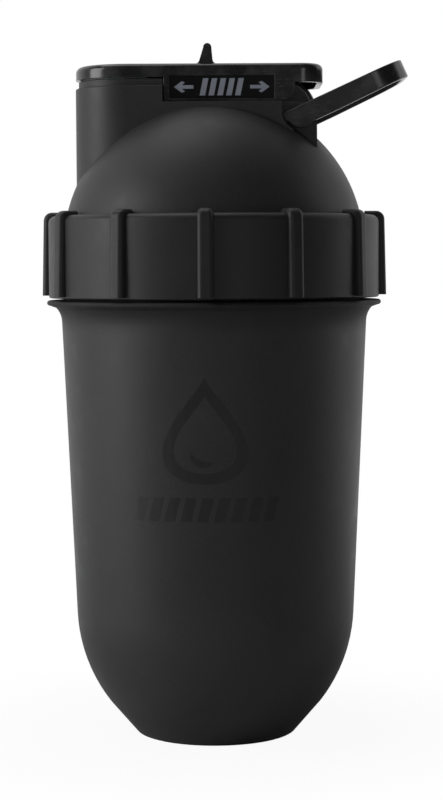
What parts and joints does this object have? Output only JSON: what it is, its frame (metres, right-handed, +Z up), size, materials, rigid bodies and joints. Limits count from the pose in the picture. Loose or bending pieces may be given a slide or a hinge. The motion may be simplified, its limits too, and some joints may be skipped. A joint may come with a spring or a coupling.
{
  "type": "protein shaker bottle",
  "caption": "Capsule-shaped shaker bottle: rounded tumbler, domed lid with raised spout under a sliding cap, ribbed screw collar and a swinging carry loop.",
  "frame": {"origin": "centre of the flat underside of the base, on the bottle's axis", "axes": "+Z up along the bottle's axis, +X towards the carry loop with the spout at -X, +Y completes the right-handed set"},
  "size_m": [0.1042, 0.0986, 0.1964],
  "materials": {
    "soft_touch_black": "fine matte soft-touch",
    "gloss_black": "moulded gloss",
    "satin_black": "moulded satin gloss",
    "label_black": "smooth film",
    "gasket_silicone": "silicone",
    "seal_silicone": "silicone"
  },
  "bodies": {
    "cup": {"tumbler_cup": "soft_touch_black"},
    "lid": {"dome_lid": "soft_touch_black", "rim_gasket": "gasket_silicone", "slide_rail": "gloss_black"},
    "collar": {"screw_collar": "soft_touch_black"},
    "cap": {"slide_cap": "gloss_black", "mouth_seal": "seal_silicone", "label_front": "label_black", "label_back": "label_black"},
    "loop": {"carry_loop": "satin_black"}
  },
  "joints": [
    {"name": "lid_lift", "type": "slide", "parent": "cup", "child": "lid", "axis": [0, 0, 1], "range_m": [0, 0.01]},
    {"name": "collar_turn", "type": "hinge", "parent": "lid", "child": "collar", "pos_m": [0, 0, 0.137], "axis": [0, 0, 1], "range_deg": [0, 720]},
    {"name": "cap_slide", "type": "slide", "parent": "lid", "child": "cap", "axis": [1, 0, 0], "range_m": [0, 0.019]},
    {"name": "loop_swing", "type": "hinge", "parent": "lid", "child": "loop", "pos_m": [0.0246, 0, 0.1772], "axis": [0, 1, 0], "range_deg": [0, 66]}
  ],
  "couplings": [
    {"joint": "lid_lift", "follows": "collar_turn", "m_per_rad": 0.00079577}
  ]
}
